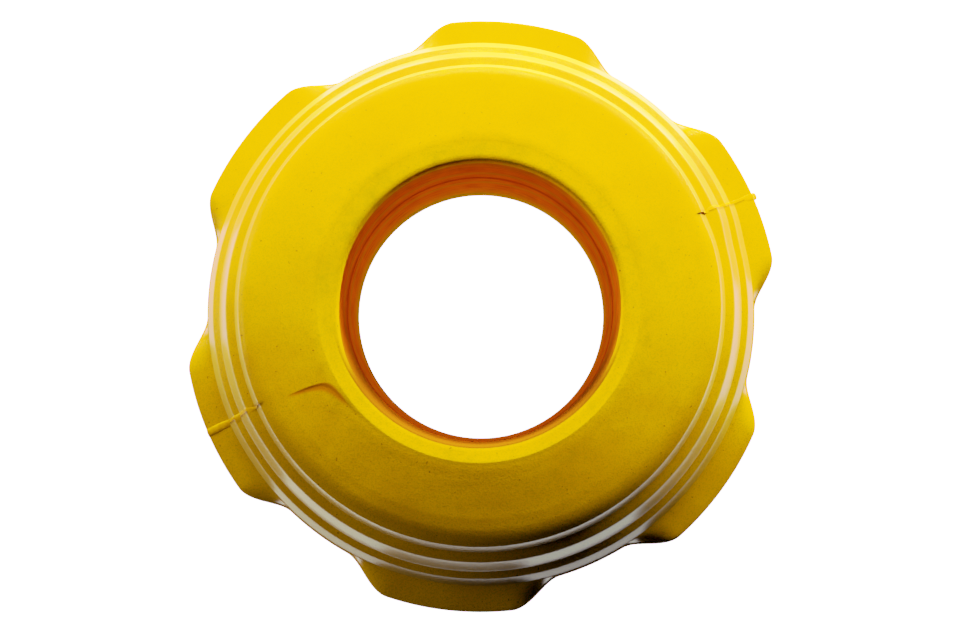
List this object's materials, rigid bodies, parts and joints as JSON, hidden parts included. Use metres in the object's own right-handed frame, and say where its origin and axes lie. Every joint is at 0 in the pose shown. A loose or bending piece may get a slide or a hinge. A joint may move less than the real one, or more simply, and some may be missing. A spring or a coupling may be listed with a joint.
{
  "type": "juggling ring",
  "caption": "Thick domed grip ring with a lobed rim, stepped ridges on both shoulders and a lined round bore, made of half shells joined across a diameter.",
  "frame": {"origin": "on the ring's axis, at the level of the rear rest face, with the ring lying flat", "axes": "+Z along the ring's axis, out of the front face; +Y towards the middle of the upper half; the two joints lie at +X and -X"},
  "size_m": [0.1016, 0.0972, 0.027],
  "materials": {
    "yellow_shell": "satin",
    "orange_sleeve": "matte",
    "cream_foam": "matte",
    "pin_plastic": "satin",
    "seam_cement": "satin"
  },
  "bodies": {
    "root": {"upper_half_shell": "yellow_shell", "lower_half_shell": "yellow_shell", "bore_sleeve": "orange_sleeve", "upper_foam_core": "cream_foam", "lower_foam_core": "cream_foam", "right_front_pin": "pin_plastic", "right_rear_pin": "pin_plastic", "left_front_pin": "pin_plastic", "left_rear_pin": "pin_plastic", "right_seam_bead": "seam_cement", "left_seam_bead": "seam_cement"}
  },
  "joints": []
}
